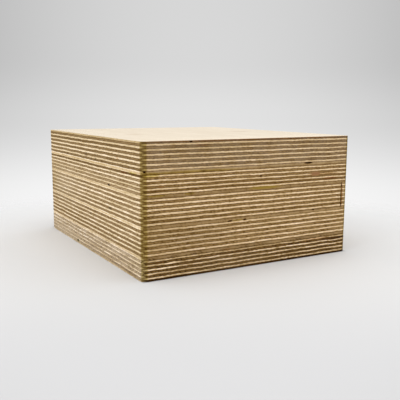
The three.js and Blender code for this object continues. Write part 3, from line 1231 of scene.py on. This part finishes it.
for name, piece in sheets.items():
    piece.data.materials.clear()
    piece.data.materials.append(edge_materials[name])
    piece.data.materials.append(face_material)
    low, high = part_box(name)
    for face in piece.data.polygons:
        on_face = not low.z + ARRIS < face.center.z < high.z - ARRIS
        face.material_index = int(abs(face.normal.z) > UPRIGHT and on_face)
    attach(piece, "root")
    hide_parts(name)
    print(name, "faces of veneer:", sum(face.material_index for face in piece.data.polygons))

# %% [markdown]
# ## Floor
# The stack stands on a plain pale floor that curves up into a pale wall, as a roll of paper does
# in a studio. Only the floor near the stack has to be there, to carry its shadow. So the floor
# is a disc that fades out before its rim, and past it the world shows the same pale grey. It
# reaches further in front, where more of it is seen. Where the lowest sheet touches the paper,
# almost no light gets in, and a thin line of shade is painted there.

# %% Floor
FLOOR_RADIUS = 0.4
FLOOR_CORNERS = 96
FLOOR_ROUGHNESS = 0.9
FADE_MIDDLE = (-0.025, -0.043, 0)  # the floor reaches a little further in front
FLOOR_FADE = (0.165, 0.32)  # the distances from there where it starts and ends to fade
# Painted shade: the floor's grey darkens from the first tone to the second towards the camera.
FLOOR_FORWARD = (-0.481, -0.877, 0)  # the way out from the front left corner
FLOOR_AHEAD = (0.10, 0.24)  # the distances that way between which its tone changes
FLOOR_SHADED_TONES = (grey(223), paint(212, 212, 213))
CONTACT_WIDTH = 1.8  # the line of shade at the foot of the stack, in millimetres
CONTACT_INSET = 1.2  # how far under the left and right edges it starts
CONTACT_SHADE = 0.68

deselect_all()
bpy.ops.mesh.primitive_circle_add(vertices=FLOOR_CORNERS, radius=FLOOR_RADIUS,
                                  fill_type="NGON")
floor = bpy.context.object
floor.name = "studio_floor"


def make_floor_material():
    material, tree, shader = start_material("studio floor")
    place = calculate_vector(tree, "MULTIPLY", object_place(tree), (MM, MM, 0))
    distance = measure(tree, "DISTANCE", place, FADE_MIDDLE)
    ahead = ramp(tree, measure(tree, "DOT_PRODUCT", place, FLOOR_FORWARD), *FLOOR_AHEAD)
    # painted shade: darker towards the camera
    colour = blend_colours(tree, ahead, *FLOOR_SHADED_TONES)

    stack_side = (stack_hi.x / MM - CONTACT_INSET, stack_hi.y / MM, 0)
    beside = calculate_vector(tree, "ABSOLUTE", object_place(tree))
    beside = separate(tree, calculate_vector(tree, "SUBTRACT", beside, stack_side))
    foot = calculate(tree, "MAXIMUM", beside[0], beside[1])
    shade = ramp(tree, foot, 0, CONTACT_WIDTH, CONTACT_SHADE, 1.0)
    fill_inputs(tree, shader, {
        "Base Color": scale_vector(tree, colour, shade), "Roughness": FLOOR_ROUGHNESS,
        "Specular IOR Level": 0.0})

    clear = add_node(tree, "BsdfTransparent")[0]
    faded = add_node(tree, "MixShader", {
        0: ramp(tree, distance, *FLOOR_FADE), 1: shader.outputs[0], 2: clear})[0]
    fill_inputs(tree, tree.nodes["Material Output"], {"Surface": faded})
    print(material.name, "nodes:", len(tree.nodes))
    return material


floor.data.materials.append(make_floor_material())

# %% [markdown]
# ## The world as backdrop and as light
# The world does two jobs. What the camera sees of it is the studio's pale paper, with its light
# painted in: lightest in a band just above the far floor, greyer higher up, and painted shade a
# little darker away from the middle.
# What lights the stack is another mix, stronger from the left than from the right and weaker in
# front. The Light Path node tells the two apart, so the paper's brightness never changes the
# light on the wood.

# %% World as backdrop
# Painted light: the paper is one pale colour, and these greys paint how it is lit.
# (sine of the angle above the horizon, grey of the paper there)
LIT_PAPER = [(-0.45, 224), (-0.36, 228), (-0.25, 229), (-0.15, 249), (-0.02, 226), (0.075, 216),
         (0.17, 215)]
PAPER_MIDDLE = (0.501, 0.865, 0)  # the level direction of the middle of the paper
# Painted shade: the paper darkens away from the middle.
VIGNETTE_ANGLES = (20, 0)  # the angles from the middle where the paper is darkest and palest
VIGNETTE_RISE = (-0.2, 0.1)  # the sines of the angle above the horizon ...
VIGNETTE_SHADES = (0.06, 0.25)  # ... and how much it darkens there

world = bpy.data.worlds.new("studio")
bpy.context.scene.world = world
world.use_nodes = True
tree = world.node_tree
tree.nodes.clear()
direction = add_node(tree, "TexCoord")["Generated"]
toward = separate(tree, direction)

paper = grey(LIT_PAPER[0][1])
for (low, _), (high, tone) in zip(LIT_PAPER, LIT_PAPER[1:]):
    paper = blend_colours(tree, ramp(tree, toward[2], low, high), paper, grey(tone))

level = calculate_vector(tree, "MULTIPLY", direction, (1, 1, 0))
level = calculate_vector(tree, "NORMALIZE", level)
ahead = measure(tree, "DOT_PRODUCT", level, PAPER_MIDDLE)
ends = [math.cos(math.radians(angle)) for angle in VIGNETTE_ANGLES]
aside = ramp(tree, ahead, *ends, 1.0, 0.0, smooth=False)
darkening = multiply(tree, aside, ramp(tree, toward[2], *VIGNETTE_RISE, *VIGNETTE_SHADES))
brightness = calculate(tree, "SUBTRACT", 1.0, darkening)
seen = add_node(tree, "Background", {"Color": paper, "Strength": brightness})[0]
print("paper tones:", [tone for _, tone in LIT_PAPER])

# %% World as light
LIGHT_ALL_ROUND = 0.336
LIGHT_LEFT = 1.24
LIGHT_RIGHT = 1.0
LIGHT_ABOVE = 0.32

from_left, from_right, from_above = (
    calculate(tree, "MAXIMUM", multiply(tree, toward[axis], light), 0.0)
    for axis, light in ((0, -LIGHT_LEFT), (0, LIGHT_RIGHT), (2, LIGHT_ABOVE)))
strength = calculate(tree, "ADD", from_left, from_right)
strength = calculate(tree, "ADD", strength, from_above)
strength = calculate(tree, "ADD", strength, LIGHT_ALL_ROUND)
lighting = add_node(tree, "Background", {"Color": (1, 1, 1, 1), "Strength": strength})[0]
path = add_node(tree, "LightPath")
shown = calculate(tree, "MAXIMUM", path["Is Camera Ray"], path["Is Glossy Ray"])
shown = calculate(tree, "MAXIMUM", shown, path["Is Transmission Ray"])
mixed = add_node(tree, "MixShader", {0: shown, 1: lighting, 2: seen})[0]
add_node(tree, "OutputWorld", {"Surface": mixed})
print("light from the left against the right:", LIGHT_LEFT / LIGHT_RIGHT)

# %% [markdown]
# ## The lamp
# One large soft lamp hangs over the stack, a little to the left and in front. It lights the top
# and lays a short soft shadow round the foot. It is hidden from the camera.

# %% Lamp
SOFTBOX_PLACE = Vector((-0.1, -0.1, 1.1))
SOFTBOX_TARGET = Vector((0, 0, 40 * MM))
SOFTBOX_SIZE = 0.9
SOFTBOX_WATTS = 2.6

bpy.ops.object.light_add(type="AREA", location=SOFTBOX_PLACE)
softbox = bpy.context.object
softbox.name = "overhead softbox"
softbox.data.shape = "DISK"
softbox.data.size = SOFTBOX_SIZE
softbox.data.energy = SOFTBOX_WATTS
softbox.rotation_euler = (SOFTBOX_TARGET - SOFTBOX_PLACE).to_track_quat("-Z", "Y").to_euler()
softbox.visible_camera = False
print("softbox, W:", SOFTBOX_WATTS)

# %% Sizes
bpy.context.view_layer.update()
